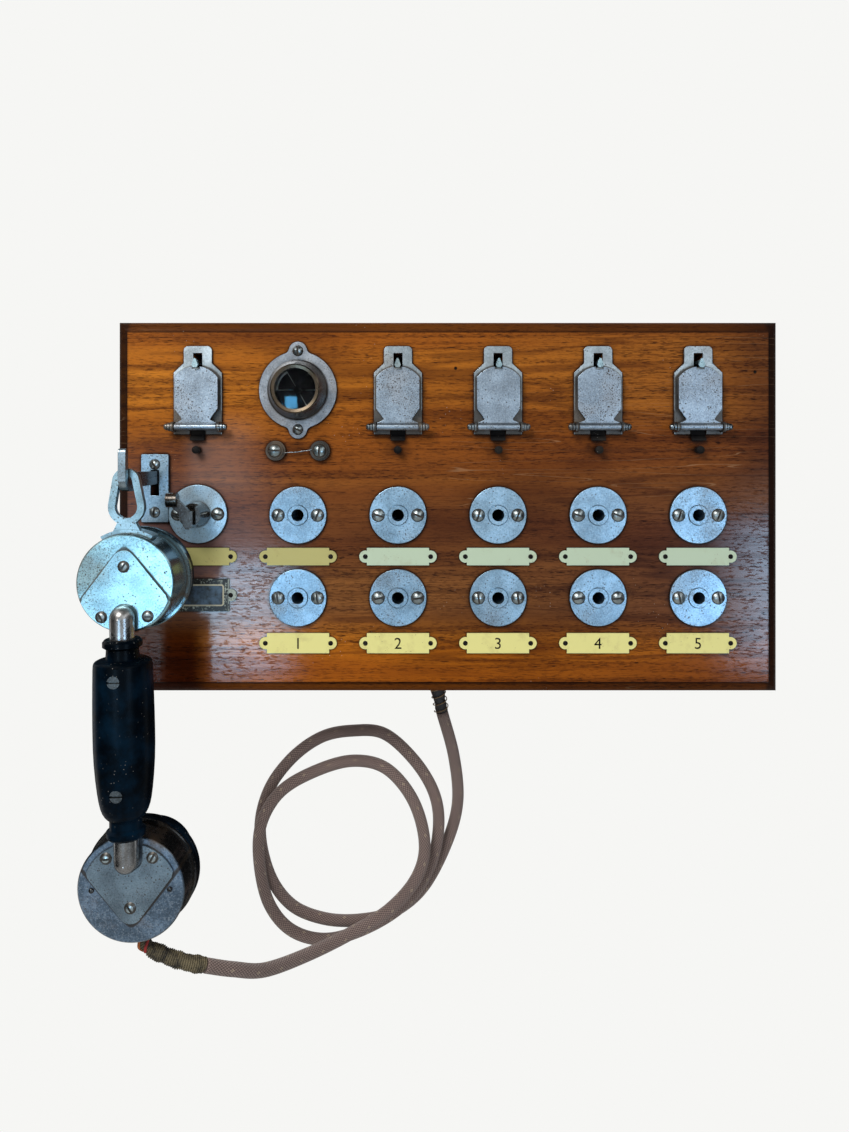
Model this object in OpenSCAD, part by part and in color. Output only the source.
// Wall telephone switchboard: a wooden case with five drop annunciators, a star indicator,
// ten jacks, a night-bell switch and a hook switch with its handset.
// X runs to the right, Y into the wall and Z up. The wall plane is y = 0.

/* [Case] */
// Thickness of the back board
back_t = 10; // [8:1:16]
// Depth of the case sides between back board and front panel
case_depth = 50; // [48:1:80]
// Thickness of the case sides
case_wall = 10; // [6:1:10]
// How far the case stands in from the rim of the front panel
case_inset = 10; // [8:1:10]
// From the top of the case down to the keyhole plates
hanger_drop = 48; // [36:1:70]
// Distance of each keyhole plate from the middle of the case
hanger_x = 150; // [100:1:170]
// Radius of the round part of a keyhole
keyhole_r = 4.5; // [3.5:0.1:6]
// Width of the narrow part of a keyhole
keyhole_slot = 4.6; // [3.5:0.1:6]

/* [Front panel] */
// Width over the moulded rim
panel_w = 428; // [420:1:500]
// Height over the moulded rim
panel_h = 240; // [216:1:300]
// Thickness of the panel
panel_t = 18; // [16:1:24]
// Radius of the quarter round on the rim
ovolo_r = 6.5; // [4:0.5:8]
// Width of the small step inside the quarter round
quirk_w = 1; // [0.5:0.1:2]
// Depth of that step
quirk_d = 2; // [1:0.1:3]

/* [Layout] */
// From the rim to the middle of the outer columns
side_margin = 53.25; // [53:0.25:58]
// Clear height between the upper rim and the drop plates
top_gap = 16.5; // [14:0.5:20]
// Clear height between the contact studs and the upper jack plates
row_gap = 21.2; // [14:0.1:30]
// Clear height between the lower labels and the lower rim
bottom_gap = 26.15; // [20:0.05:34]
// From the lower row of labels up to the lower jacks
label_gap_low = 29.3; // [27:0.1:34]
// From the upper row of labels up to the upper jacks
label_gap_high = 26.7; // [25:0.1:28]
// From the lower jacks up to the upper jacks
jack_rise = 53.1; // [51:0.1:56]

/* [Drop annunciators] */
// Thickness of the back plate and its ears
drop_plate_t = 1.6; // [1:0.1:2.4]
// Width of the back plate
drop_plate_w = 30.8; // [30.4:0.1:34]
// Width of the tab at the top of the back plate
drop_tab_w = 18; // [12:0.5:24]
// Radius of the tab's corners
drop_tab_r = 2.8; // [1:0.1:4]
// Height of the tab's top above the hinge
drop_tab_top = 52; // [49:0.5:56]
// How far the back plate reaches below the hinge
drop_foot = 4.5; // [3.5:0.1:6]
// Height of the hinge above the panel face
hinge_h = 7; // [6.4:0.1:9]
// Diameter of the hinge pin
hinge_pin_d = 2.2; // [1.6:0.1:2.6]
// Diameter of the knobs on the hinge pin
hinge_knob_d = 5.2; // [4:0.1:7]
// Width over the two knobs
hinge_span = 40.5; // [38:0.5:46]
// Width of a shutter
shutter_w = 27.6; // [24:0.1:29]
// Height of a shutter above its hinge
shutter_h = 38.7; // [36:0.1:40]
// Thickness of a shutter
shutter_t = 1.2; // [0.8:0.1:1.6]
// Width of a shutter at its waist
waist_w = 18.4; // [14:0.1:22]
// Width of a shutter's hinge barrel
barrel_w = 26.4; // [22:0.1:26.8]
// Diameter of a shutter's hinge barrel
barrel_d = 4.4; // [3.8:0.1:5]
// Width and height of a latch finger
finger_w = 2.2; // [2:0.1:2.8]
// Height of the pointed beak in front of a latch finger
beak_h = 5.8; // [5:0.1:6.2]
// How far a latch finger lies over the top of its shutter
finger_hook = 1; // [0.6:0.1:1.4]
// Diameter of the magnet coils
coil_d = 22; // [16:0.5:24]
// Diameter of the coil flanges
coil_flange_d = 26; // [24:0.5:27]
// Diameter of the magnet cores
core_d = 8; // [6:0.5:10]
// Air gap between a core and its armature
air_gap = 1.4; // [1.2:0.1:2]
// Diameter of the latch pivot pins
pivot_d = 1.6; // [1.2:0.1:2]
// Diameter of the contact studs
stud_d = 4.9; // [3:0.1:6]
// Height of the contact studs
stud_h = 7.6; // [4:0.1:8]
// From the hinge down to a contact stud
stud_drop = 14.6; // [13:0.1:17]
// Width of the black spring tongues
tongue_w = 9.2; // [6:0.1:10]

/* [Star indicator] */
// Height of the indicator's middle above the shutter hinges
indicator_rise = 23.8; // [20:0.1:26]
// Diameter of the flange
flange_d = 49.7; // [46:0.1:54]
// Thickness of the flange
flange_t = 1.6; // [1:0.1:2.4]
// From the middle to a lug screw
lug_reach = 25.3; // [24.5:0.1:28]
// Radius of a lug
lug_r = 5.75; // [5:0.05:7]
// Diameter of the bezel at its base
bezel_d = 38.8; // [36:0.1:41]
// Height of the bezel above the panel
bezel_h = 15; // [12:0.5:18]
// Diameter of the glass
glass_d = 28; // [24:0.1:30]
// Thickness of the glass
glass_t = 2; // [1:0.1:3]
// Length of the magnet behind the dial
indicator_len = 30; // [20:1:44]

/* [Fuse] */
// Distance between the two posts
fuse_pitch = 28.5; // [22:0.5:32]
// From the shutter hinges down to the posts
fuse_drop = 15.1; // [14:0.1:17]
// Diameter of a post's base
fuse_base_d = 12.6; // [10:0.1:14]
// Diameter of a post's head
fuse_head_d = 9.2; // [8:0.1:11]
// Diameter of the fuse wire
fuse_wire_d = 0.7; // [0.4:0.1:1]

/* [Jacks] */
// Diameter of a jack plate
jack_plate_d = 36.5; // [34:0.1:38]
// Thickness of jack plates and switch plate
jack_plate_t = 1.8; // [1:0.1:2.5]
// From the bore to each plate screw
jack_screw_reach = 12.65; // [12:0.05:13.2]
// Diameter of the bore
jack_bore_d = 7.85; // [6:0.05:8.4]
// Diameter of the sleeve behind its rim
sleeve_d = 10.8; // [10:0.1:11.6]
// Diameter of the sleeve's rim
sleeve_rim_d = 13.4; // [12.6:0.1:14]
// Height of the sleeve's rim over its plate
sleeve_rim_t = 1; // [0.5:0.1:2]
// How far a sleeve reaches behind the panel
sleeve_tail = 8; // [4:0.5:12]

/* [Labels] */
// Width of a label between its ears
label_w = 40; // [36:0.5:42]
// Height of the labels in the upper row
label_h_high = 11.2; // [9:0.1:12]
// Height of the labels in the lower row
label_h_low = 12.9; // [10:0.1:14]
// Thickness of a label
label_t = 0.9; // [0.5:0.1:1.5]
// From the middle of a label to a nail
nail_reach = 21; // [19.5:0.1:22]
// Radius of a label's ears
label_ear_r = 3.9; // [3:0.1:4.8]
// Height of the name plate
name_h = 20.8; // [16:0.1:24]
// From the lower jacks up to the middle of the name plate
name_rise = 1.6; // [0:0.1:4]
// Diameter of a nail head
nail_d = 3.1; // [2:0.1:4]

/* [Jack springs] */
// Length of a jack spring's foot on the back of the panel
leaf_foot = 8; // [5:0.5:10]
// Thickness of a jack spring
leaf_t = 0.8; // [0.5:0.1:1]
// From the end of a sleeve to the bend of its spring
leaf_bend = 3.2; // [2:0.1:4]
// From the end of a sleeve to the kink of its spring
leaf_kink = 9; // [8:0.5:10]
// From the end of a sleeve to the tip of its spring
leaf_reach = 13.4; // [12:0.1:15]

/* [Screw slots] */
// Width of a screw's slot
nick_w = 1.3; // [0.9:0.1:1.5]
// Depth of a screw's slot
nick_deep = 1.7; // [1:0.1:1.9]

/* [Works inside] */
// Width of a magnet's yoke
yoke_w = 26; // [20:0.5:28]
// How far a yoke reaches below its core
yoke_drop = 16; // [13.5:0.5:18]
// Width of an armature
armature_w = 14; // [10:0.5:18]
// How far an armature reaches below its core
armature_drop = 10; // [6:0.5:12]
// Length of the terminal strip
strip_len = 180; // [120:5:200]
// Height of the terminal strip
strip_h = 12; // [8:1:16]
// Thickness of the terminal strip
strip_t = 10; // [6:1:12]
// From the terminal strip to the right wall of the case
strip_side = 54; // [40:1:60]
// Distance between two terminals
strip_pitch = 15; // [12:0.5:16]
// Length of the induction coil
spool_len = 56; // [40:1:60]
// Side of the induction coil's cheeks
spool_w = 26; // [20:1:30]
// Diameter of the main wire bundle
loom_d = 5; // [3:0.1:5.2]
// Diameter of the wire branches
branch_d = 2.4; // [1.6:0.1:3]

/* [Fasteners] */
// Head diameter of the plate screws
screw_head_d = 8.6; // [7:0.1:9]
// Head diameter of the small screws on hook plate and handset
small_head_d = 7; // [5.5:0.1:7.4]
// Shank diameter of the plate screws
screw_shank_d = 3; // [2:0.1:4]
// Length of a plate screw under its head
screw_len = 11; // [8:0.5:14]

/* [Night-bell switch] */
// Diameter of the switch plate
switch_plate_d = 37.5; // [36:0.1:39]
// Diameter of the spindle at its foot
spindle_foot_d = 16.4; // [14:0.1:16.8]
// Diameter of the spindle at its end
spindle_end_d = 13.4; // [12:0.1:14]
// Height of the spindle's end above the panel
spindle_h = 21; // [18:0.5:24]
// Diameter of the shaft through the panel
shaft_d = 7; // [5:0.1:8]
// Thickness of the lever
lever_t = 5.9; // [4:0.1:6.4]
// How far the knob stands to the side of and above the spindle
knob_reach = 10; // [9:0.1:12]
// Diameter of the knob
knob_d = 9.1; // [7:0.1:10]

/* [Hook switch] */
// From the outer column to the hook
hook_side = 27.4; // [26.5:0.1:28]
// From the upper jacks up to the middle of the hook plate
hook_rise = 17.3; // [16:0.1:19]
// Width of the hook plate
hook_plate_w = 17.5; // [15:0.1:18]
// Height of the hook plate
hook_plate_h = 43.5; // [42:0.1:48]
// Thickness of the hook plate
hook_plate_t = 2.2; // [1.5:0.1:3]
// Thickness of the hook lever
hook_t = 4.4; // [3:0.1:4.8]
// Depth of the lever bar
hook_bar = 8.4; // [6:0.1:8.8]
// From the panel face out to the middle of the hook's throat
throat_h = 54; // [50:0.5:58]
// Radius of the hook's throat
throat_r = 3.9; // [3.8:0.1:5]
// Height of the hook's tip above the throat's middle
tip_rise = 13.3; // [10:0.1:15]
// Diameter of the hook's pivot pin
hook_pin_d = 4; // [3:0.1:5]

/* [Handset] */
// Angle by which the handset leans out of plumb
handset_roll = 1.1; // [0:0.1:2]
// From the hook's throat down to the receiver's middle
receiver_drop = 64.1; // [62:0.1:67]
// From the receiver's middle down to the transmitter's middle
handset_len = 175.6; // [172:0.1:185]
// Height of the cups' front faces above the panel
cup_front = 60.4; // [59:0.1:61]
// Diameter of the receiver cup
receiver_d = 56.5; // [54:0.1:58]
// Diameter of the receiver's rear rim
receiver_rim_d = 61.6; // [60:0.1:64]
// Depth of the receiver cup
receiver_depth = 29.4; // [25:0.1:30]
// Depth of the ear cap
ear_depth = 9; // [7:0.1:12]
// Diameter of the transmitter cup
transmitter_d = 62; // [60:0.1:64]
// Diameter of the transmitter's rear rim
transmitter_rim_d = 65; // [64.5:0.1:68]
// Depth of the transmitter cup
transmitter_depth = 20.4; // [16:0.1:24]
// Depth of the transmitter cap
transmitter_cap_depth = 10; // [8:0.1:14]
// Length of the mouthpiece
mouth_len = 18; // [10:0.5:22]
// Diameter of the mouthpiece at its mouth
mouth_d = 46; // [36:0.5:56]
// Wall of the cups and the mouthpiece
cup_wall = 2; // [1.5:0.1:3]
// Thickness of the clamp plates
clamp_t = 1.6; // [1:0.1:2.5]
// How far a clamp plate stands in from its cup's edge
clamp_rim = 1.25; // [0.5:0.05:3]
// From a cup's middle to the point of its clamp plate
clamp_point = 19; // [16:0.5:22]
// Radius of that point
clamp_point_r = 7; // [5:0.5:9]
// From a cup's middle to the clamp screw at the point
clamp_screw_up = 9.8; // [8:0.1:11]
// From a cup's middle across to the other clamp screws
clamp_screw_side = 13.3; // [12.6:0.1:14.5]
// From a cup's middle along to the other clamp screws
clamp_screw_down = 18.8; // [17:0.1:19.5]
// Diameter of the handle tube
tube_d = 13.8; // [12:0.1:14]
// From the cups' front faces out to the axis of the handle tube
tube_rise = 5.6; // [5:0.1:6]
// From each cup's middle to the end of the tube
tube_inset = 12; // [11.6:0.1:14]
// Largest diameter of the grip
grip_d = 33.6; // [31:0.1:38]
// Length of the grip's barrel
grip_len = 90; // [80:0.5:92]
// Length of each end bead of the grip
bead_len = 11; // [6:0.5:11.5]
// Diameter of the end beads
bead_d = 21.8; // [20:0.1:25]
// Width of the hanging ring at its base
ring_w = 21; // [19:0.5:22]
// Width of the hanging ring at its top
ring_top_w = 15.6; // [15.4:0.1:17]
// Thickness of the ring's bar
ring_bar = 4; // [3.5:0.1:4.2]
// Depth of the ring from front to back
ring_depth = 4.2; // [3:0.1:4.4]
// Width of the saddle that joins the ring to its cup
saddle_w = 11; // [8:0.5:13]
// How far the saddle reaches behind the ring's middle
saddle_back = 8.6; // [6:0.1:10]
// Half the spread of the saddle, measured above the cup
saddle_reach = 26.6; // [20:0.2:30]
// Height of the space inside the ring
ring_gap = 25; // [24:0.1:26]

/* [Cord] */
// Diameter of the cord
cord_d = 8.4; // [6:0.1:9]
// Diameter of the whipping at the handset
whipping_d = 9.4; // [8.6:0.1:10.4]
// Diameter of the hole under the case
cord_hole_d = 13; // [11.5:0.5:16]

/* [Clearances] */
// Running clearance on a radius
run_clear = 0.05; // [0.03:0.01:0.1]
// Gap between pieces that move past each other
move_gap = 0.6; // [0.4:0.1:1]
// Gap between the cord and the bindings at its ends
cord_gap = 0.4; // [0.3:0.1:0.6]

/* [Hidden] */
$fn = 48;

wood = "#7a4a1e";
dark_wood = "#4a2b14";
nickel = "#b9bcc0";
brass = "#b3924a";
iron = "#3b3b3e";
ebonite = "#15161a";
cream = "#d8d2a8";
silk = "#2f5a3a";
braid = "#604e4c";
cut = 0.5;

// Planes of the case
face_y = -(back_t + case_depth + panel_t);
case_w = panel_w - 2 * case_inset;
case_h = panel_h - 2 * case_inset;
inner_w = case_w - 2 * case_wall;
inner_h = case_h - 2 * case_wall;
face_w = panel_w - 2 * (ovolo_r + quirk_w);
face_h = panel_h - 2 * (ovolo_r + quirk_w);

// Columns and rows on the panel
column_pitch = (panel_w - 2 * side_margin) / 5;
function column(i) = (i - 2.5) * column_pitch;
drop_columns = [0, 2, 3, 4, 5];
jack_columns = [1, 2, 3, 4, 5];
row_content = drop_tab_top + stud_drop + stud_d / 2 + jack_plate_d / 2 + jack_rise
    + label_gap_low + label_h_low / 2;
gap_share = (panel_h - top_gap - row_content) / (row_gap + bottom_gap);
drop_z = panel_h / 2 - top_gap - drop_tab_top;
low_label_z = -panel_h / 2 + bottom_gap * gap_share + label_h_low / 2;
low_jack_z = low_label_z + label_gap_low;
high_jack_z = low_jack_z + jack_rise;
high_label_z = high_jack_z - label_gap_high;
jack_rows = [high_jack_z, low_jack_z];
jack_spots = [for (z = jack_rows) for (i = jack_columns) [column(i), z]];

// Heights behind the panel, counted from its face
panel_back = -panel_t;
board_front = -panel_t - case_depth;

// Latches and magnets
rear_clear = 4.6;
armature_t = 2;
yoke_t = 2.5;
strap_t = 2;
strap_w = 12;
coil_gap = 0.6;
coil_y = shutter_h - 16.7;
strap_y = coil_y + coil_flange_d / 2 + coil_gap;
armature_back = board_front + rear_clear;
armature_front = armature_back + armature_t;
pole_h = armature_front + air_gap;
pivot_h = (armature_back + armature_front) / 2;
finger_y = shutter_h + finger_w / 2 + 1.7;
beak_w = finger_w + 1.8;
notch_w = beak_w + 0.8;
notch_depth = finger_hook + 0.9;
lip_h = hinge_h;
lip_t = 2.3;
hub_d = pivot_d + 3.6;
hub_w = 6.4;
ear_gap = 0.5;
ear_t = 1.5;
slot_w = finger_w + 3.6;
slot_low = finger_y - finger_w / 2 - 1.9;
slot_high = finger_y + finger_w / 2 + 5;

// Star indicator
indicator_x = column(1);
indicator_z = drop_z + indicator_rise;
dial_t = 1.2;
indicator_hole_d = glass_d + 6;
star_pin_d = 1.5;
lip_w = 1;

// Fuse
fuse_z = drop_z - fuse_drop;
fuse_spots = [for (s = [-1, 1]) [indicator_x + s * fuse_pitch / 2, fuse_z]];
fuse_shank_d = 4;
fuse_shank = 12;
fuse_neck_d = 6.4;

// Night-bell switch
switch_x = column(0);
switch_z = high_jack_z + 0.7;
switch_screw_reach = 12.9;

// Hook switch
hook_x = column(0) - hook_side;
hook_z = high_jack_z + hook_rise;
hook_screw_z = hook_plate_h / 2 - small_head_d / 2 - 2.9;
hook_slot_w = hook_t + 1;
bar_top = hook_z + 11.1;
throat_z = bar_top + 0.3;
hook_slot_low = hook_z - 4.7;
hook_slot_high = bar_top + 0.6;
hook_pivot = [panel_back - 20, bar_top - hook_bar / 2];
bracket_t = 1.6;
tip_t = 4.5;
hook_low = throat_z - throat_r - 7.6;

// Handset, in its own upright place under the hook
ring_middle_z = throat_z;
ring_in_top = ring_middle_z - ring_bar / 2;
receiver_z = throat_z - receiver_drop;
transmitter_z = receiver_z - handset_len;
tube_h = cup_front + tube_rise;
tube_top = receiver_z - tube_inset;
tube_low = transmitter_z + tube_inset;
grip_mid = (receiver_z - receiver_d / 2 + transmitter_z + transmitter_d / 2) / 2;
grip_top = grip_mid + grip_len / 2;
grip_low = grip_mid - grip_len / 2;
clamp_r = receiver_d / 2 - clamp_rim;
clamp_screws = [[0, clamp_screw_up], [-clamp_screw_side, -clamp_screw_down],
    [clamp_screw_side, -clamp_screw_down]];

// Plate screws: place, seat height and head diameter
jack_screws = [for (p = jack_spots) for (s = [-1, 1])
    [p[0] + s * jack_screw_reach, p[1], jack_plate_t, screw_head_d]];
switch_screws = [for (s = [-1, 1])
    [switch_x + s * switch_screw_reach, switch_z, jack_plate_t, screw_head_d]];
hook_screws = [for (s = [-1, 1])
    [hook_x, hook_z + s * hook_screw_z, hook_plate_t, small_head_d]];
lug_screws = [for (s = [-1, 1])
    [indicator_x, indicator_z + s * lug_reach, flange_t, small_head_d]];
screw_spots = concat(jack_screws, switch_screws, hook_screws, lug_screws);

// Labels: place and height of each plate
high_labels = [for (i = [0:5]) [column(i), high_label_z, label_h_high]];
low_labels = [for (i = jack_columns) [column(i), low_label_z, label_h_low]];
label_spots = concat(high_labels, low_labels);
name_spot = [column(0), low_jack_z + name_rise];
nail_plates = concat(label_spots, [[name_spot[0], name_spot[1], name_h]]);
nail_spots = [for (p = nail_plates) for (s = [-1, 1]) [p[0] + s * nail_reach, p[1]]];
nail_shank_d = 1.4;
nail_len = 6;

// Back screws: place on the back board
back_screw_spots = [for (x = [-1, 0, 1]) for (z = [-1, 1])
    [x * (case_w - case_wall) / 2, z * (case_h - case_wall) / 2]];
hanger_t = 2;
hanger_z = case_h / 2 - hanger_drop;
hanger_w = 22;
hanger_h = 44;
hanger_screw_reach = 17;
keyhole_rise = 10;
hanger_screw_spots = [for (sx = [-1, 1]) for (sz = [-1, 1])
    [sx * hanger_x, hanger_z + sz * hanger_screw_reach]];
sunk_head_d = 6.4;
sunk_head_t = 1.7;
sunk_shank_d = 3;
back_screw_len = 20;
hanger_screw_len = 7;

// Cord route below the panel's lower rim, from the entry to the whipping on the handset
cord_route = [
    [-3, -27, -26], [6, -16, -62], [9, -7, -98], [1, -5, -129], [-16, -5, -161],
    [-38, -5, -179], [-62, -5, -185], [-88, -5, -184], [-112, -5, -174], [-128, -5, -152],
    [-135, -5, -120], [-129, -5, -91], [-112, -6, -67], [-90, -7, -51], [-67, -8, -46],
    [-44, -9, -48], [-22, -11, -67], [-8, -13, -90], [-5, -14, -114], [-11, -14, -141],
    [-27, -14, -166], [-53, -14, -184], [-84, -14, -194], [-110, -14, -188], [-127, -14, -168],
    [-134, -14, -137], [-132, -15, -110], [-118, -16, -87], [-93, -17, -72], [-66, -19, -64],
    [-42, -21, -69], [-23, -23, -91], [-15, -26, -120], [-21, -29, -143], [-40, -33, -163],
    [-66, -43, -174], [-92, -66, -175], [-114, -96, -167], [-130, -112, -157], [-144, -121, -149.4]
];
hang_points = 5;
// Whipping under the transmitter's middle
transmitter_fall = transmitter_z - throat_z;
transmitter_at = [hook_x - transmitter_fall * sin(handset_roll),
    face_y - cup_front + transmitter_depth - 8,
    throat_z + transmitter_fall * cos(handset_roll)];
whipping_drop = -transmitter_d / 2 - 0.8;
whipping_steps = [[2.5, 0, whipping_drop], [3.5, 0, whipping_drop - 4.2],
    [7, 0, whipping_drop - 8.7], [14.5, 0, whipping_drop - 12.2],
    [26.5, 0.4, whipping_drop - 16.8], [38, 4.4, whipping_drop - 21.4]];
whipping_route = [for (p = whipping_steps) transmitter_at + p];
// The last points of the cord follow the whipping
whipping_end = whipping_route[5];
cord_end = whipping_end + 2 * cord_gap * (whipping_end - whipping_route[4])
    / norm(whipping_end - whipping_route[4]);
cord_count = len(cord_route);
board_low = [0, 0, -panel_h / 2];
end_shift = cord_end - board_low - cord_route[cord_count - 1];
cord_points = [for (i = [0:cord_count - 1]) board_low + cord_route[i]
    + end_shift * max(0, i - cord_count + 1 + hang_points) / hang_points];
// Entry through the bottom of the case
entry_x = -7;
entry_y = -30;
entry_route = [[entry_x, entry_y, -inner_h / 2 + 4], [entry_x, entry_y, -case_h / 2 - 2],
    [entry_x + 0.6, entry_y + 0.4, -panel_h / 2 - 6],
    cord_points[0] - cord_gap * [0.2, 0.15, -0.97]];
tube_sides = 10;

// A smooth curve through hand-chosen points
function at(p, i) = p[min(max(i, 0), len(p) - 1)];
function curve(a, b, c, d, t) =
    b + (c - a) * t / 2
    + (2 * a - 5 * b + 4 * c - d) * t * t / 2
    + (3 * b - a - 3 * c + d) * t * t * t / 2;
function smooth(p, steps) = [for (i = [0:len(p) - 2]) for (k = [0:steps - (i < len(p) - 2 ? 1 : 0)])
    curve(at(p, i - 1), at(p, i), at(p, i + 1), at(p, i + 2), k / steps)];
function unit(v) = v / norm(v);
function heading(p, i) = unit(at(p, i + 1) - at(p, i - 1));
function square_to(v, t) = unit(v - (v * t) * t);
function sides_of(p) = [for (i = 0, u = square_to([0.3, 1, 0.2], heading(p, 0)); i < len(p);
    i = i + 1, u = square_to(u, heading(p, min(i, len(p) - 1)))) u];
function path_length(p) = [for (i = [1:len(p) - 1]) norm(p[i] - p[i - 1])] * [for (i = [1:len(p) - 1]) 1];
function self_gap(p, d, apart) = min([for (i = [0:len(p) - 1]) for (j = [i + apart:len(p) - 1])
    norm(p[i] - p[j])]) - d;

// A round tube swept along a path, with a radius for each of its rings
module swept(p, radii) {
    u = sides_of(p);
    n = tube_sides;
    last = len(p) - 1;
    points = [for (i = [0:last]) for (k = [0:n - 1])
        p[i] + radii[i] * (cos(360 * k / n) * u[i] + sin(360 * k / n) * cross(heading(p, i), u[i]))];
    walls = [for (i = [0:last - 1]) for (k = [0:n - 1]) let (a = i * n + k, b = i * n + (k + 1) % n)
        each [[a, a + n, b], [b, a + n, b + n]]];
    caps = [for (k = [1:n - 2]) each [[0, k, k + 1], [last * n, last * n + k + 1, last * n + k]]];
    polyhedron(points, concat(walls, caps));
}

cord_path = smooth(cord_points, 2);
echo(cord_length_mm = path_length(cord_path));
echo(cord_self_gap_mm = self_gap(smooth(cord_points, 4), cord_d, 14));

// From face coordinates (right, up, outwards) to the frame of the object
module front() {
    translate([0, face_y, 0])
    rotate([90, 0, 0])
    children();
}

// A plate drawn as (outwards, up) and extruded sideways about the middle
module sideways(t) {
    rotate([0, -90, 0])
    linear_extrude(height = t, center = true)
    children();
}

module bar_x(d, w) {
    rotate([0, 90, 0])
    cylinder(d = d, h = w, center = true);
}

module bar_up(d, low, high) {
    translate([0, high, 0])
    rotate([90, 0, 0])
    cylinder(d = d, h = high - low);
}

module block(x0, x1, y0, y1, z0, z1) {
    translate([x0, y0, z0])
    cube([x1 - x0, y1 - y0, z1 - z0]);
}

module dome(d, h) {
    r = (d * d / 4 + h * h) / (2 * h);
    intersection() {
        translate([0, 0, h - r])
        sphere(r);
        cylinder(d = d + 1, h = h + 1);
    }
}

module slotted_head(d, h, turn) {
    difference() {
        dome(d, h);
        rotate([0, 0, turn])
        block(-d, d, -nick_w / 2, nick_w / 2, max(0.4, h - nick_deep), h + 1);
    }
}

module drilled(spots, d, low, high) {
    for (p = spots)
        translate([p[0], p[1], low])
        cylinder(d = d, h = high - low);
}

// Section of the panel: flat face, small step and quarter round
module panel_section(w) {
    square_low = panel_t - quirk_d - ovolo_r;
    translate([-w / 2, panel_back])
    square([w, square_low]);
    translate([-w / 2 + ovolo_r, panel_back])
    square([w - 2 * ovolo_r, panel_t - quirk_d]);
    translate([-w / 2 + ovolo_r + quirk_w, panel_back])
    square([w - 2 * (ovolo_r + quirk_w), panel_t]);
    for (s = [-1, 1])
        translate([s * (w / 2 - ovolo_r), panel_back + square_low])
        circle(ovolo_r);
}

module moulded_board() {
    intersection() {
        rotate([90, 0, 0])
        linear_extrude(height = panel_h, center = true)
        panel_section(panel_w);
        rotate([90, 0, 90])
        linear_extrude(height = panel_w, center = true)
        panel_section(panel_h);
    }
}

module front_panel() {
    color(wood)
    front()
    difference() {
        moulded_board();
        for (i = drop_columns)
            block(column(i) - slot_w / 2, column(i) + slot_w / 2, drop_z + slot_low,
                drop_z + slot_high, panel_back - cut, cut);
        drilled([[indicator_x, indicator_z]], indicator_hole_d, panel_back - cut, cut);
        drilled(jack_spots, sleeve_d + 2 * run_clear, panel_back - cut, cut);
        drilled([[switch_x, switch_z]], shaft_d + 2 * run_clear, panel_back - cut, cut);
        block(hook_x - hook_slot_w / 2, hook_x + hook_slot_w / 2, hook_slot_low - 1,
            hook_slot_high, panel_back - cut, cut);
        for (p = screw_spots)
            drilled([p], screw_shank_d + 2 * run_clear, p[2] - screw_len, cut);
        drilled(nail_spots, nail_shank_d + 2 * run_clear, label_t - nail_len, cut);
        drilled(fuse_spots, fuse_shank_d + 2 * run_clear, -fuse_shank, cut);
        for (i = drop_columns)
            drilled([[column(i), drop_z - stud_drop]], nail_shank_d + 2 * run_clear, -nail_len, cut);
    }
}

module case_board(w, h, x, z) {
    translate([x - w / 2, -back_t - case_depth, z - h / 2])
    cube([w, case_depth, h]);
}

module pilot(x, z, len) {
    translate([x, 0.01, z])
    rotate([90, 0, 0])
    cylinder(d = sunk_shank_d + 2 * run_clear, h = len + 0.01);
}

module case_rail(s) {
    difference() {
        case_board(inner_w, case_wall, 0, s * (case_h - case_wall) / 2);
        pilot(0, s * (case_h - case_wall) / 2, back_screw_len);
    }
}

module case_top() {
    color(dark_wood)
    case_rail(1);
}

module case_bottom() {
    color(dark_wood)
    difference() {
        case_rail(-1);
        translate([entry_x, entry_y, -case_h / 2 - cut])
        cylinder(d = cord_hole_d, h = case_wall + 2 * cut);
    }
}

module case_sides() {
    color(dark_wood)
    for (s = [-1, 1])
        difference() {
            case_board(case_wall, case_h, s * (case_w - case_wall) / 2, 0);
            for (z = [-1, 1])
                pilot(s * (case_w - case_wall) / 2, z * (case_h - case_wall) / 2, back_screw_len);
        }
}

// A countersunk screw driven from the back, its head flush with the wall plane
module sunk_screw(len, clear) {
    rotate([90, 0, 0]) {
        cylinder(d1 = sunk_head_d + 2 * clear, d2 = sunk_shank_d + 2 * clear, h = sunk_head_t);
        cylinder(d = sunk_shank_d + 2 * clear, h = len + clear);
    }
}

module back_board() {
    color(dark_wood)
    difference() {
        translate([-case_w / 2, -back_t, -case_h / 2])
        cube([case_w, back_t, case_h]);
        for (p = back_screw_spots)
            translate([p[0], 0, p[1]])
            sunk_screw(back_screw_len, run_clear);
        for (s = [-1, 1])
            translate([s * hanger_x, 0, hanger_z]) {
                block(-hanger_w / 2, hanger_w / 2, -hanger_t, cut, -hanger_h / 2, hanger_h / 2);
                block(-keyhole_r - 1, keyhole_r + 1, -back_t + 2, 0, -keyhole_r - 1,
                    keyhole_rise + keyhole_r);
            }
        for (p = hanger_screw_spots)
            pilot(p[0], p[1], hanger_screw_len + run_clear);
    }
}

module back_screws() {
    color(brass) {
        for (p = back_screw_spots)
            translate([p[0], 0, p[1]])
            sunk_screw(back_screw_len, 0);
        for (p = hanger_screw_spots)
            translate([p[0], 0, p[1]])
            sunk_screw(hanger_screw_len, 0);
    }
}

module hanger_plates() {
    color(iron)
    for (s = [-1, 1])
        difference() {
            translate([s * hanger_x, 0, hanger_z])
            difference() {
                block(-hanger_w / 2, hanger_w / 2, -hanger_t, 0, -hanger_h / 2, hanger_h / 2);
                rotate([90, 0, 0])
                translate([0, 0, -cut])
                cylinder(r = keyhole_r, h = hanger_t + 2 * cut);
                block(-keyhole_slot / 2, keyhole_slot / 2, -hanger_t - cut, cut, 0, keyhole_rise);
            }
            for (p = hanger_screw_spots)
                translate([p[0], 0, p[1]])
                sunk_screw(hanger_screw_len, run_clear);
        }
}

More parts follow.
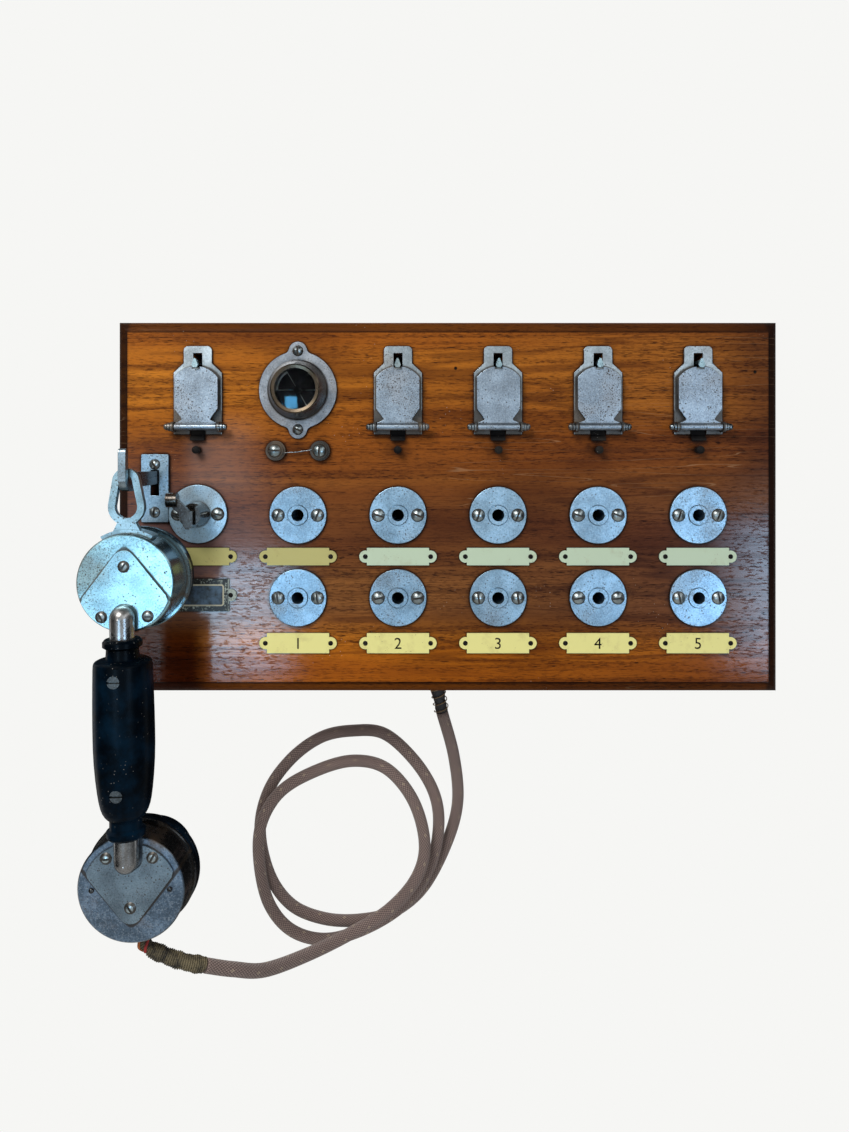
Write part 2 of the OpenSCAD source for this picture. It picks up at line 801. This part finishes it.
// Drop annunciators, drawn about the shutter hinge of each column
module at_drops() {
    front()
    for (i = drop_columns)
        translate([column(i), drop_z, 0])
        children();
}

module drop_ear() {
    difference() {
        sideways(drop_plate_t) {
            translate([drop_plate_t / 2, -3.2])
            square([hinge_h - drop_plate_t / 2, 6.4]);
            translate([hinge_h, 0])
            circle(3.2);
        }
        translate([0, 0, hinge_h])
        bar_x(hinge_pin_d + 2 * run_clear, drop_plate_t + 2 * cut);
    }
}

module drop_plates() {
    half = drop_plate_w / 2;
    tab = drop_tab_w / 2;
    notch = tongue_w / 2 + 0.6;
    color(nickel)
    at_drops() {
        difference() {
            linear_extrude(height = drop_plate_t) {
                hull()
                for (s = [-1, 1])
                    translate([s * (tab - drop_tab_r), drop_tab_top - drop_tab_r])
                    circle(drop_tab_r, $fn = 40);
                polygon([[-tab, drop_tab_top - drop_tab_r], [tab, drop_tab_top - drop_tab_r],
                    [tab, 41], [half, 35], [half, -drop_foot], [notch, -drop_foot], [notch, -1],
                    [-notch, -1], [-notch, -drop_foot], [-half, -drop_foot], [-half, 35],
                    [-tab, 41]]);
            }
            block(-slot_w / 2, slot_w / 2, slot_low, slot_high, -cut, drop_plate_t + cut);
        }
        for (s = [-1, 1])
            translate([s * (half - drop_plate_t / 2), 0, 0])
            drop_ear();
    }
}

// Half of a hinge pin with its knob, turned about the pin's axis
module pin_half() {
    seat = drop_plate_w / 2 + 0.2;
    end = hinge_span / 2;
    r = hinge_knob_d / 2;
    ball = 2.2;
    rotate([0, 90, 0])
    rotate_extrude()
    polygon([[0, 0], [hinge_pin_d / 2, 0], [hinge_pin_d / 2, seat], [r - 0.4, seat], [r, seat + 0.4],
        [r, seat + 1.6], [r - 0.4, seat + 2], [ball - 0.7, seat + 2], [ball, end - 2.4],
        [ball, end - 1.5], [ball - 0.5, end - 0.6], [ball - 1.3, end - 0.1], [0, end]]);
}

module drop_pins() {
    color(nickel)
    at_drops()
    translate([0, 0, hinge_h]) {
        pin_half();
        rotate([0, 0, 180])
        pin_half();
    }
}

module shutter_outline() {
    half = shutter_w / 2;
    crown = 17;
    intersection() {
        translate([0, shutter_h - crown])
        circle(crown, $fn = 96);
        translate([-half, shutter_h - crown])
        square([shutter_w, crown]);
    }
    polygon([[-half, shutter_h - crown + 1], [-half, 11.7], [-waist_w / 2, 5.4],
        [-waist_w / 2, 4.4], [-barrel_w / 2, 2.6], [-barrel_w / 2, 0], [barrel_w / 2, 0],
        [barrel_w / 2, 2.6], [waist_w / 2, 4.4], [waist_w / 2, 5.4], [half, 11.7],
        [half, shutter_h - crown + 1]]);
}

module shutter(i) {
    color(nickel)
    front()
    translate([column(drop_columns[i - 1]), drop_z, hinge_h])
    difference() {
        union() {
            translate([0, 0, 0.2 - barrel_d / 2])
            linear_extrude(height = shutter_t)
            difference() {
                shutter_outline();
                translate([-notch_w / 2, shutter_h - notch_depth])
                square([notch_w, notch_depth + 1]);
            }
            bar_x(barrel_d, barrel_w);
        }
        bar_x(hinge_pin_d + 2 * run_clear, barrel_w + 2 * cut);
    }
}

module shutter_1() { shutter(1); }
module shutter_2() { shutter(2); }
module shutter_3() { shutter(3); }
module shutter_4() { shutter(4); }
module shutter_5() { shutter(5); }

module latch(i) {
    half = finger_w / 2;
    lip_low = shutter_h - finger_hook;
    cheek = lip_low + 1.6;
    tip = lip_low + beak_h;
    color(nickel)
    front()
    translate([column(drop_columns[i - 1]), drop_z, 0])
    difference() {
        union() {
            block(-half, half, finger_y - half, finger_y + half, pivot_h, lip_h + lip_t / 2);
            translate([0, 0, lip_h])
            linear_extrude(height = lip_t)
            polygon([[-half, lip_low], [half, lip_low], [beak_w / 2, cheek], [0.5, tip], [-0.5, tip],
                [-beak_w / 2, cheek]]);
            translate([0, finger_y, pivot_h])
            bar_x(hub_d, hub_w);
            block(-hub_w / 2, hub_w / 2, strap_y - 2, finger_y, armature_back, armature_front);
            block(-armature_w / 2, armature_w / 2, coil_y - armature_drop, strap_y - coil_gap,
                armature_back, armature_front);
        }
        translate([0, finger_y, pivot_h])
        bar_x(pivot_d + 2 * run_clear, hub_w + 2 * cut);
    }
}

module latch_1() { latch(1); }
module latch_2() { latch(2); }
module latch_3() { latch(3); }
module latch_4() { latch(4); }
module latch_5() { latch(5); }

module drop_magnets() {
    ear_in = hub_w / 2 + ear_gap;
    color(iron)
    at_drops() {
        block(-yoke_w / 2, yoke_w / 2, coil_y - yoke_drop, strap_y + strap_t,
            panel_back - yoke_t, panel_back);
        block(-strap_w / 2, strap_w / 2, strap_y, strap_y + strap_t, pivot_h + 3, panel_back);
        translate([0, coil_y, pole_h])
        cylinder(d = core_d, h = panel_back - yoke_t / 2 - pole_h);
        for (s = [-1, 1])
            difference() {
                translate([s * (ear_in + ear_t / 2), 0, 0])
                block(-ear_t / 2, ear_t / 2, strap_y, finger_y + 3, pivot_h - 2.4, pivot_h + 4);
                translate([0, finger_y, pivot_h])
                bar_x(pivot_d + 2 * run_clear, 30);
            }
    }
}

module drop_coils() {
    low = pole_h + 1.4;
    high = panel_back - yoke_t - 0.2;
    color(silk)
    at_drops()
    translate([0, coil_y, 0])
    difference() {
        union() {
            translate([0, 0, low])
            cylinder(d = coil_d, h = high - low);
            for (z = [low, high - 1.6])
                translate([0, 0, z])
                cylinder(d = coil_flange_d, h = 1.6);
        }
        translate([0, 0, low - cut])
        cylinder(d = core_d + 2 * run_clear, h = high - low + 2 * cut);
    }
}

module pivot_pins() {
    color(brass) {
        at_drops()
        translate([0, finger_y, pivot_h])
        bar_x(pivot_d, hub_w + 2 * (ear_gap + ear_t) + 1);
        front()
        translate([hook_x, hook_pivot[1], hook_pivot[0]])
        bar_x(hook_pin_d, hook_t + 2 * (ear_gap + bracket_t) + 1);
    }
}

module bell_springs() {
    top = -drop_foot - 0.4;
    color(ebonite)
    at_drops()
    sideways(tongue_w)
    polygon([[0, top + 3], [0.8, top + 3], [0.8, top], [3.4, top - 2.7], [3.4, top - 3.7],
        [2.6, top - 3.7], [0, top - 1.1]]);
}

module bell_studs() {
    color(brass)
    at_drops()
    translate([0, -stud_drop, 0]) {
        translate([0, 0, -nail_len])
        cylinder(d = nail_shank_d, h = nail_len + 1);
        cylinder(d = stud_d - 1.2, h = stud_h - 1);
        translate([0, 0, stud_h - 2.4])
        cylinder(d = stud_d, h = 1.4);
        translate([0, 0, stud_h - 1])
        dome(stud_d, 1);
    }
}

// Star indicator
module at_indicator() {
    front()
    translate([indicator_x, indicator_z, 0])
    children();
}

// One lug of the flange, joined to the round by two fillets
module lug(fillet) {
    r = flange_d / 2;
    far = r + fillet;
    near = lug_r + fillet;
    up = (far * far - near * near + lug_reach * lug_reach) / (2 * lug_reach);
    side = sqrt(far * far - up * up);
    foot = [side, up] * r / far;
    head = [0, lug_reach] + ([side, up] - [0, lug_reach]) * lug_r / near;
    translate([0, lug_reach])
    circle(lug_r);
    difference() {
        polygon([[-foot[0], foot[1] - 4], [foot[0], foot[1] - 4], foot, head,
            [-head[0], head[1]], [-foot[0], foot[1]]]);
        for (s = [-1, 1])
            translate([s * side, up])
            circle(fillet);
    }
}

module indicator_bezel() {
    r_in = glass_d / 2;
    top_r = r_in + 1.6;
    color(iron)
    at_indicator() {
        difference() {
            linear_extrude(height = flange_t)
            difference() {
                union() {
                    circle(d = flange_d, $fn = 96);
                    for (s = [0, 180])
                        rotate([0, 0, s])
                        lug(4);
                }
                circle(r_in);
            }
            for (s = [-1, 1])
                translate([0, s * lug_reach, -cut])
                cylinder(d = screw_shank_d + 2 * run_clear, h = flange_t + 2 * cut);
        }
        rotate_extrude($fn = 96)
        polygon([[r_in, flange_t / 2], [bezel_d / 2, flange_t / 2], [bezel_d / 2, flange_t + 1],
            [bezel_d / 2 - 0.8, flange_t + 2.4], [top_r + 0.4, bezel_h - 2], [top_r, bezel_h - 0.5],
            [top_r - 0.8, bezel_h], [r_in - lip_w, bezel_h - 0.4], [r_in - lip_w, bezel_h - 1.6],
            [r_in, bezel_h - 1.6]]);
    }
}

module indicator_glass() {
    color("#9fb4bd")
    at_indicator()
    translate([0, 0, bezel_h - 1.6 - glass_t])
    cylinder(d = glass_d - 2 * run_clear, h = glass_t);
}

module indicator_dial() {
    color(cream)
    at_indicator()
    translate([0, 0, -dial_t])
    difference() {
        cylinder(d = indicator_hole_d - 2 * run_clear, h = dial_t);
        translate([0, 0, -cut])
        cylinder(d = star_pin_d + 2 * run_clear, h = dial_t + 2 * cut);
    }
}

module indicator_coil() {
    color(silk)
    at_indicator()
    translate([0, 0, -dial_t - indicator_len])
    difference() {
        cylinder(d = indicator_hole_d - 2 * run_clear, h = indicator_len);
        translate([0, 0, indicator_len - 10])
        cylinder(d = star_pin_d + 2 * run_clear, h = 10 + cut);
    }
}

module star_vane() {
    r = glass_d / 2 - 1.4;
    rotate([0, 0, 1.5])
    polygon([for (a = [0, 9.5, 19, 28.5, 38, 47.5, 57]) r * [cos(a), sin(a)], [0, 0]]);
}

module indicator_star() {
    color(ebonite)
    at_indicator() {
        translate([0, 0, 1.2])
        linear_extrude(height = 0.6)
        for (a = [0, 120, 240])
            rotate([0, 0, a])
            star_vane();
        translate([0, 0, 0.4])
        cylinder(d = 5, h = 2.8);
        translate([0, 0, -dial_t - 8])
        cylinder(d = star_pin_d, h = dial_t + 9);
    }
}

// Fuse
module fuse_posts() {
    color(brass)
    front()
    for (p = fuse_spots)
        translate([p[0], p[1], 0]) {
            translate([0, 0, -fuse_shank])
            cylinder(d = fuse_shank_d, h = fuse_shank + 1);
            cylinder(d = fuse_base_d, h = 2.4);
            cylinder(d = fuse_neck_d, h = 4.6);
            translate([0, 0, 3.6])
            cylinder(d = fuse_head_d + 0.8, h = 1.2);
            translate([0, 0, 4.6])
            slotted_head(fuse_head_d, 2.8, p[0] < column(1) ? 2 : 88);
        }
}

module fuse_wire() {
    color(brass)
    front()
    translate([indicator_x, fuse_z, 3])
    bar_x(fuse_wire_d, fuse_pitch - fuse_neck_d - 2 * run_clear);
}

// Jacks
module jack_plates() {
    color(nickel)
    front()
    for (p = jack_spots)
        difference() {
            translate([p[0], p[1], 0])
            cylinder(d = jack_plate_d, h = jack_plate_t, $fn = 96);
            drilled([p], sleeve_d + 2 * run_clear, -cut, jack_plate_t + cut);
            for (s = [-1, 1])
                drilled([p + [s * jack_screw_reach, 0]], screw_shank_d + 2 * run_clear, -cut,
                    jack_plate_t + cut);
        }
}

module jack_sleeves() {
    low = panel_back - sleeve_tail;
    color(brass)
    front()
    for (p = jack_spots)
        translate([p[0], p[1], 0])
        difference() {
            union() {
                translate([0, 0, low])
                cylinder(d = sleeve_d, h = jack_plate_t - low + 0.2);
                translate([0, 0, jack_plate_t])
                cylinder(d1 = sleeve_rim_d, d2 = sleeve_rim_d - 1, h = sleeve_rim_t);
            }
            translate([0, 0, low - cut])
            cylinder(d = jack_bore_d, h = jack_plate_t + sleeve_rim_t - low + 2 * cut);
        }
}

module jack_springs() {
    seat = -sleeve_d / 2 - 2.6;
    end = panel_back - sleeve_tail;
    color(brass)
    front()
    for (p = jack_spots)
        translate([p[0], p[1], 0])
        sideways(6)
        polygon([[panel_back, seat - leaf_foot], [panel_back, seat + leaf_t],
            [end - leaf_bend, seat + leaf_t], [end - leaf_kink, -2.6],
            [end - leaf_reach, -4.4], [end - leaf_reach + 0.4, -5.2],
            [end - leaf_kink, -3.6], [end - leaf_bend - leaf_t, seat], [panel_back - 1, seat],
            [panel_back - 1, seat - leaf_foot]]);
}

// Labels
module label(h, w) {
    square([w, h], center = true);
    for (s = [-1, 1])
        translate([s * nail_reach, 0])
        circle(label_ear_r);
}

module nailed_plate(p, t, h) {
    translate([p[0], p[1], 0])
    difference() {
        linear_extrude(height = t)
        label(h, label_w);
        for (s = [-1, 1])
            translate([s * nail_reach, 0, -cut])
            cylinder(d = nail_shank_d + 2 * run_clear, h = t + 2 * cut);
    }
}

module label_plates() {
    color(cream)
    front()
    for (p = label_spots)
        nailed_plate(p, label_t, p[2]);
}

module name_plate() {
    color(iron)
    front()
    nailed_plate(name_spot, label_t, name_h);
}

module label_nails() {
    color(ebonite)
    front()
    for (p = nail_spots)
        translate([p[0], p[1], label_t]) {
            dome(nail_d, 1);
            translate([0, 0, -nail_len])
            cylinder(d = nail_shank_d, h = nail_len + 0.3);
        }
}

module plate_screws() {
    color(nickel)
    front()
    for (p = screw_spots)
        translate([p[0], p[1], p[2]]) {
            slotted_head(p[3], 2.4, p[0] * 7 + p[1] * 13);
            translate([0, 0, -screw_len])
            cylinder(d = screw_shank_d, h = screw_len + 0.4);
        }
}

// Night-bell switch
module switch_plate() {
    color(nickel)
    front()
    difference() {
        translate([switch_x, switch_z, 0])
        cylinder(d = switch_plate_d, h = jack_plate_t, $fn = 96);
        drilled([[switch_x, switch_z]], shaft_d + 2 * run_clear, -cut, jack_plate_t + cut);
        drilled(switch_screws, screw_shank_d + 2 * run_clear, -cut, jack_plate_t + cut);
    }
}

module switch_handle() {
    foot = jack_plate_t + 0.3;
    slot = lever_t + 2 * move_gap;
    low = spindle_h - 9;
    tip = 8 - lever_t / 2;
    color(nickel)
    front()
    translate([switch_x, switch_z, 0]) {
        difference() {
            union() {
                translate([0, 0, foot])
                cylinder(d1 = spindle_foot_d, d2 = spindle_end_d, h = spindle_h - foot);
                translate([0, 0, panel_back - 10])
                cylinder(d = shaft_d, h = foot + 1 - panel_back + 10);
            }
            block(-slot / 2, slot / 2, -20, 20, low, spindle_h + cut);
        }
        block(-lever_t / 2, lever_t / 2, -tip, 3, low, spindle_h + 4);
        translate([0, -tip, low])
        cylinder(d = lever_t, h = spindle_h + 4 - low);
        rotate([0, 0, 45])
        block(-lever_t / 2, lever_t / 2, 0, knob_reach * sqrt(2), spindle_h + 0.4, spindle_h + 4);
        translate([-knob_reach, knob_reach, spindle_h + 2.2])
        bar_x(knob_d, 6.5);
    }
}

module contact_springs() {
    color(brass)
    front() {
        for (s = [-1, 1])
            translate([switch_x + s * (shaft_d / 2 + 2.4), switch_z, 0])
            block(-0.4, 0.4, -4, 4, panel_back - 12, panel_back);
        translate([hook_x, hook_pivot[1], 0])
        sideways(5)
        polygon([[panel_back, -26], [panel_back, -25], [hook_pivot[0] - 7, -25],
            [hook_pivot[0] - 7, -6], [hook_pivot[0] - 8, -6], [hook_pivot[0] - 8, -26]]);
    }
}

// Hook switch
module hook_plate() {
    half_w = hook_plate_w / 2;
    half_h = hook_plate_h / 2;
    nip = 0.5;
    color(nickel)
    front()
    difference() {
        translate([hook_x, hook_z, 0])
        linear_extrude(height = hook_plate_t)
        polygon([[-half_w, nip - half_h], [nip - half_w, -half_h], [half_w - nip, -half_h],
            [half_w, nip - half_h], [half_w, half_h - nip], [half_w - nip, half_h],
            [nip - half_w, half_h], [-half_w, half_h - nip]]);
        block(hook_x - hook_slot_w / 2, hook_x + hook_slot_w / 2, hook_slot_low, hook_slot_high,
            -cut, hook_plate_t + cut);
        drilled(hook_screws, screw_shank_d + 2 * run_clear, -cut, hook_plate_t + cut);
    }
}

// Side view of the hook: bar, throat and upturned tip, drawn as (outwards, up)
module hook_outline() {
    out = throat_h + throat_r + tip_t;
    corner = throat_r + tip_t;
    difference() {
        union() {
            polygon([[hook_pivot[0], bar_top - hook_bar], [0, bar_top - hook_bar],
                [throat_h - 20, bar_top - hook_bar - 0.6], [throat_h - 8, hook_low],
                [throat_h, hook_low], [throat_h, bar_top], [hook_pivot[0], bar_top]]);
            translate([throat_h - 1, throat_z - throat_r - 2])
            square([out - throat_h + 1, tip_rise + throat_r + 2 - tip_t / 2]);
            translate([out - tip_t / 2, throat_z + tip_rise - tip_t / 2])
            circle(tip_t / 2);
            intersection() {
                translate([throat_h, hook_low + corner])
                circle(corner);
                translate([throat_h - 1, hook_low])
                square([corner + 2, corner + 1]);
            }
        }
        translate([throat_h, throat_z])
        circle(throat_r);
        translate([throat_h - throat_r, throat_z])
        square([2 * throat_r, tip_rise + 1]);
    }
}

module hook_lever() {
    color(nickel)
    front()
    translate([hook_x, 0, 0])
    difference() {
        union() {
            sideways(hook_t)
            hook_outline();
            translate([0, hook_pivot[1], hook_pivot[0]])
            bar_x(hook_pin_d + 6, hook_t);
            block(-hook_t / 2, hook_t / 2, hook_pivot[1] - 14, hook_pivot[1], hook_pivot[0] - 3,
                hook_pivot[0] + 3);
        }
        translate([0, hook_pivot[1], hook_pivot[0]])
        bar_x(hook_pin_d + 2 * run_clear, hook_t + 2 * cut);
    }
}

module hook_bracket() {
    in = hook_t / 2 + ear_gap;
    color(brass)
    front()
    translate([hook_x, hook_pivot[1], 0])
    for (s = [-1, 1])
        difference() {
            union() {
                translate([s * (in + bracket_t / 2), 0, 0])
                block(-bracket_t / 2, bracket_t / 2, -6, 6, hook_pivot[0] - 5, panel_back);
                if (s > 0)
                    block(in, in + 6, -6, 6, panel_back - bracket_t, panel_back);
            }
            translate([0, 0, hook_pivot[0]])
            bar_x(hook_pin_d + 2 * run_clear, 40);
        }
}

// Works on the back board
module terminal_strip() {
    x = inner_w / 2 - strip_len / 2 - strip_side;
    color(ebonite)
    translate([x, -back_t, -inner_h / 2 + strip_h]) {
        block(-strip_len / 2, strip_len / 2, -strip_t, 0, -strip_h / 2, strip_h / 2);
        for (i = [-5.5:5.5])
            translate([i * strip_pitch, 1 - strip_t, 0])
            rotate([90, 0, 0])
            cylinder(d = strip_h / 2, h = strip_t / 2);
    }
}

module induction_coil() {
    cheek_t = 4;
    color(silk)
    translate([-inner_w / 2 + spool_len / 2 + 10, -back_t - spool_w / 2, -inner_h / 2 + spool_w]) {
        bar_x(spool_w - 5, spool_len);
        for (s = [-1, 1])
            translate([s * (spool_len - cheek_t) / 2, 0, 0])
            block(-cheek_t / 2, cheek_t / 2, -spool_w / 2, spool_w / 2, -spool_w / 2, spool_w / 2);
    }
}

module wiring_loom() {
    z = (drop_z + high_jack_z) / 2 - 4;
    h = panel_back - loom_d / 2 - 0.2;
    start = column(0) + 10;
    color(silk)
    front() {
        translate([start, z, h])
        rotate([0, 90, 0])
        cylinder(d = loom_d, h = column(5) + 8 - start);
        for (i = drop_columns)
            translate([column(i) + (i == 0 ? 11 : 7), 0, h])
            bar_up(branch_d, z, drop_z + coil_y - yoke_drop - 0.2);
        for (i = jack_columns)
            translate([column(i) + (i == 5 ? 7 : 9), 0, h])
            bar_up(branch_d, low_jack_z - 4, z);
    }
}

// Handset, leaning about the throat of the hook
module handset() {
    front()
    translate([hook_x, throat_z, 0])
    rotate([0, 0, handset_roll])
    translate([0, -throat_z, 0])
    children();
}

module tube_shape(clear) {
    r = tube_d / 2 + clear;
    translate([0, 0, tube_h]) {
        bar_up(2 * r, tube_low + tube_d / 2, tube_top - tube_d / 2);
        for (y = [tube_low + tube_d / 2, tube_top - tube_d / 2])
            translate([0, y, 0])
            sphere(r);
    }
}

module handle_tube() {
    color(nickel)
    handset()
    tube_shape(0);
}

// Hollow cup with a rear rim, its front face on the plane of both cups
module cup(z, d, rim_d, depth, rim_t) {
    r = d / 2;
    low = cup_front - depth;
    difference() {
        translate([0, z, 0])
        rotate_extrude($fn = 96)
        polygon([[0, cup_front], [r - 1, cup_front], [r, cup_front - 1], [r, low + rim_t],
            [rim_d / 2 - 0.6, low + rim_t], [rim_d / 2, low + rim_t - 0.6], [rim_d / 2, low],
            [r - cup_wall, low], [r - cup_wall, cup_front - cup_wall - 1.4],
            [0, cup_front - cup_wall - 1.4]]);
        tube_shape(run_clear);
    }
}

module receiver_cup() {
    color(nickel)
    handset()
    difference() {
        cup(receiver_z, receiver_d, receiver_rim_d, receiver_depth, 3);
        clamp_holes(0, 1);
    }
}

module transmitter_cup() {
    color(nickel)
    handset()
    difference() {
        cup(transmitter_z, transmitter_d, transmitter_rim_d, transmitter_depth, 2);
        clamp_holes(transmitter_z - receiver_z, -1);
    }
}

// Holes of one clamp plate, turned over for the transmitter
module clamp_holes(shift, way) {
    for (p = clamp_screws)
        translate([p[0], receiver_z + shift + way * p[1], cup_front - 3])
        cylinder(d = screw_shank_d + 2 * run_clear, h = clamp_t + 3 + cut);
}

module receiver_cap() {
    front_h = cup_front - receiver_depth;
    r = receiver_rim_d / 2 - 0.6;
    spigot = receiver_d / 2 - cup_wall - run_clear;
    back = front_h - ear_depth;
    color(ebonite)
    handset()
    translate([0, receiver_z, 0])
    rotate_extrude($fn = 96)
    polygon([[spigot, front_h + 2], [spigot, front_h], [r, front_h], [r, back + 3],
        [r - 1, back + 1], [r - 3.4, back], [r - 7, back + 0.2], [9, back + 4.4], [5, back + 4.4],
        [5, back + 6.2], [9, back + 6.2], [spigot - 3, back + 6.6], [spigot - 3, front_h + 2]]);
}

module transmitter_cap() {
    front_h = cup_front - transmitter_depth;
    r = transmitter_rim_d / 2;
    spigot = transmitter_d / 2 - cup_wall - run_clear;
    back = front_h - transmitter_cap_depth;
    mouth = back - mouth_len;
    throat = 10;
    color(ebonite)
    handset()
    translate([0, transmitter_z, 0])
    rotate_extrude($fn = 96)
    polygon([[spigot, front_h + 2], [spigot, front_h], [r, front_h], [r, front_h - 3],
        [r - 0.8, front_h - 3.4], [r - 0.8, front_h - 4.2], [r, front_h - 4.6], [r, back + 2.4],
        [r - 1.6, back + 0.6], [r - 5, back], [throat + 4, back - 0.6], [throat + 3, back - 4],
        [mouth_d / 2 - 4, mouth + 5], [mouth_d / 2, mouth], [mouth_d / 2 - 2, mouth],
        [mouth_d / 2 - 6.6, mouth + 5], [throat, back - 4], [throat, back + 3],
        [spigot - 3, back + 3], [spigot - 3, front_h + 2]]);
}

module diaphragms() {
    color(iron)
    handset() {
        translate([0, receiver_z, cup_front - receiver_depth + 2])
        cylinder(r = receiver_d / 2 - cup_wall - 1, h = 0.6);
        translate([0, transmitter_z, cup_front - transmitter_depth + 2])
        cylinder(r = transmitter_d / 2 - cup_wall - 1, h = 0.6);
    }
}

// Three-cornered plate with a rounded point and a round lower edge
module clamp_outline() {
    point = clamp_point_r;
    lean = 52;
    top = clamp_point - point;
    side = [sin(lean), cos(lean)] * point;
    reach = 30;
    intersection() {
        circle(clamp_r, $fn = 96);
        union() {
            translate([0, top])
            circle(point);
            polygon([[-side[0], top + side[1]], [side[0], top + side[1]],
                [side[0] + reach * cos(lean), top + side[1] - reach * sin(lean)], [reach, -reach],
                [-reach, -reach], [-side[0] - reach * cos(lean), top + side[1] - reach * sin(lean)]]);
        }
    }
}

module clamp_plate(z, way) {
    notch = tube_d / 2 + move_gap;
    difference() {
        translate([0, z, cup_front])
        mirror([0, way < 0 ? 1 : 0, 0])
        linear_extrude(height = clamp_t)
        difference() {
            clamp_outline();
            translate([0, -tube_inset - tube_d / 2])
            circle(notch);
            translate([-notch, -40])
            square([2 * notch, 40 - tube_inset - tube_d / 2]);
        }
        clamp_holes(z - receiver_z, way);
    }
}

module clamp_plates() {
    color(nickel)
    handset() {
        clamp_plate(receiver_z, 1);
        clamp_plate(transmitter_z, -1);
    }
}

// Radius of the grip's barrel at a share of its half length above the middle
function grip_r(u) = grip_d / 2 - 0.8 * u * u - (u < 0 ? 3.2 * u * u : 0);
function grip_r_at(y) = grip_r((y - grip_mid) / (grip_len / 2));

// Turned grip: two end beads and a swelling barrel
module handle_grip() {
    r_in = tube_d / 2 + run_clear;
    bead = bead_d / 2;
    neck = bead - 2;
    half = grip_len / 2;
    ends = [-1, -0.985, -0.96, -0.92, -0.86, -0.78];
    shoulder = [0.9, 0.95, 0.97, 0.985, 1];
    barrel = [for (u = concat(ends, [-0.66, -0.5, -0.3, -0.1, 0.1, 0.3, 0.5, 0.7], shoulder))
        [grip_r(u) - (u < 0 ? 2.6 * pow(-u, 14) : 2.2 * pow(u, 60)), u * (half - 0.6)]];
    color(ebonite)
    handset()
    difference() {
        translate([0, grip_mid, tube_h])
        rotate([-90, 0, 0])
        rotate_extrude($fn = 64)
        polygon(concat([[r_in, -half - bead_len], [bead - 1.4, -half - bead_len],
            [bead - 0.2, -half - bead_len + 1.4], [bead - 0.2, -half - bead_len + 4],
            [neck, -half - bead_len + 5.4], [neck, -half]],
            barrel,
            [[neck + 0.4, half], [neck, half + bead_len - 5.4], [bead, half + bead_len - 4],
            [bead, half + bead_len - 1.4], [bead - 1.2, half + bead_len], [r_in, half + bead_len]]));
        for (y = grip_screws)
            translate([0, y, tube_h + grip_r_at(y) - grip_head_t - grip_head_sink])
            cylinder(d = small_head_d + 2 * run_clear, h = 20);
    }
}

grip_screws = [grip_top - 10, grip_low + 17];
grip_head_t = 4.6;
grip_head_sink = 0.4;

module hanging_ring() {
    low_r = ring_w / 2;
    top_r = ring_top_w / 2;
    in_top = throat_z - ring_bar / 2;
    low_y = in_top - ring_gap + low_r - ring_bar;
    top_y = in_top - top_r + ring_bar;
    saddle = receiver_d / 2 + run_clear;
    color(nickel)
    handset() {
        translate([0, 0, throat_h - ring_depth / 2])
        linear_extrude(height = ring_depth)
        difference() {
            union() {
                hull() {
                    translate([0, low_y])
                    circle(low_r, $fn = 40);
                    translate([0, top_y])
                    circle(top_r, $fn = 40);
                }
                polygon([[-5, low_y - low_r + 2], [5, low_y - low_r + 2],
                    [8, receiver_z + saddle + 1], [-8, receiver_z + saddle + 1]]);
            }
            hull() {
                translate([0, low_y])
                circle(low_r - ring_bar, $fn = 40);
                translate([0, top_y])
                circle(top_r - ring_bar, $fn = 40);
            }
        }
        translate([0, receiver_z, throat_h - saddle_back])
        linear_extrude(height = saddle_w)
        intersection() {
            difference() {
                circle(saddle + 2.4, $fn = 96);
                circle(saddle, $fn = 96);
            }
            polygon([[0, 0], [-saddle_reach, 2 * saddle_w + ring_gap],
                [saddle_reach, 2 * saddle_w + ring_gap]]);
        }
    }
}

module handset_screws() {
    color(nickel)
    handset() {
        for (way = [1, -1])
            for (p = clamp_screws)
                translate([p[0], (way > 0 ? receiver_z : transmitter_z) + way * p[1],
                    cup_front + clamp_t]) {
                    slotted_head(small_head_d, 1.4, 60 * way + p[0] * 9);
                    translate([0, 0, -clamp_t - 3])
                    cylinder(d = screw_shank_d, h = clamp_t + 3.2);
                }
        for (y = grip_screws)
            translate([0, y, tube_h + grip_r_at(y) - grip_head_t - grip_head_sink])
            difference() {
                cylinder(d = small_head_d, h = grip_head_t);
                block(-small_head_d, small_head_d, -nick_w / 2, nick_w / 2,
                    grip_head_t - nick_deep, grip_head_t + 1);
            }
    }
}

// Cord and its bindings
module handset_cord() {
    color(braid)
    swept(cord_path, [for (p = cord_path) cord_d / 2]);
}

module cord_entry() {
    p = smooth(entry_route, 3);
    last = len(p) - 1;
    color(ebonite)
    swept(p, [for (i = [0:last]) cord_d / 2 + 0.9 - 0.5 * i / last]);
}

module cord_whipping() {
    p = smooth(whipping_route, 3);
    last = len(p) - 1;
    color(braid)
    swept(p, [for (i = [0:last]) whipping_d / 2 * min(1, 0.6 + 1.2 * i / last)]);
}

front_panel();
case_top();
case_bottom();
case_sides();
back_board();
back_screws();
hanger_plates();
drop_plates();
drop_pins();
drop_magnets();
drop_coils();
pivot_pins();
bell_springs();
bell_studs();
indicator_bezel();
indicator_glass();
indicator_dial();
indicator_coil();
fuse_posts();
fuse_wire();
jack_plates();
jack_sleeves();
jack_springs();
label_plates();
name_plate();
label_nails();
plate_screws();
switch_plate();
contact_springs();
hook_plate();
hook_bracket();
terminal_strip();
induction_coil();
wiring_loom();
cord_entry();
handset_cord();
shutter_1();
shutter_2();
shutter_3();
shutter_4();
shutter_5();
latch_1();
latch_2();
latch_3();
latch_4();
latch_5();
indicator_star();
switch_handle();
hook_lever();
receiver_cup();
receiver_cap();
clamp_plates();
hanging_ring();
handle_tube();
handle_grip();
transmitter_cup();
transmitter_cap();
handset_screws();
diaphragms();
cord_whipping();
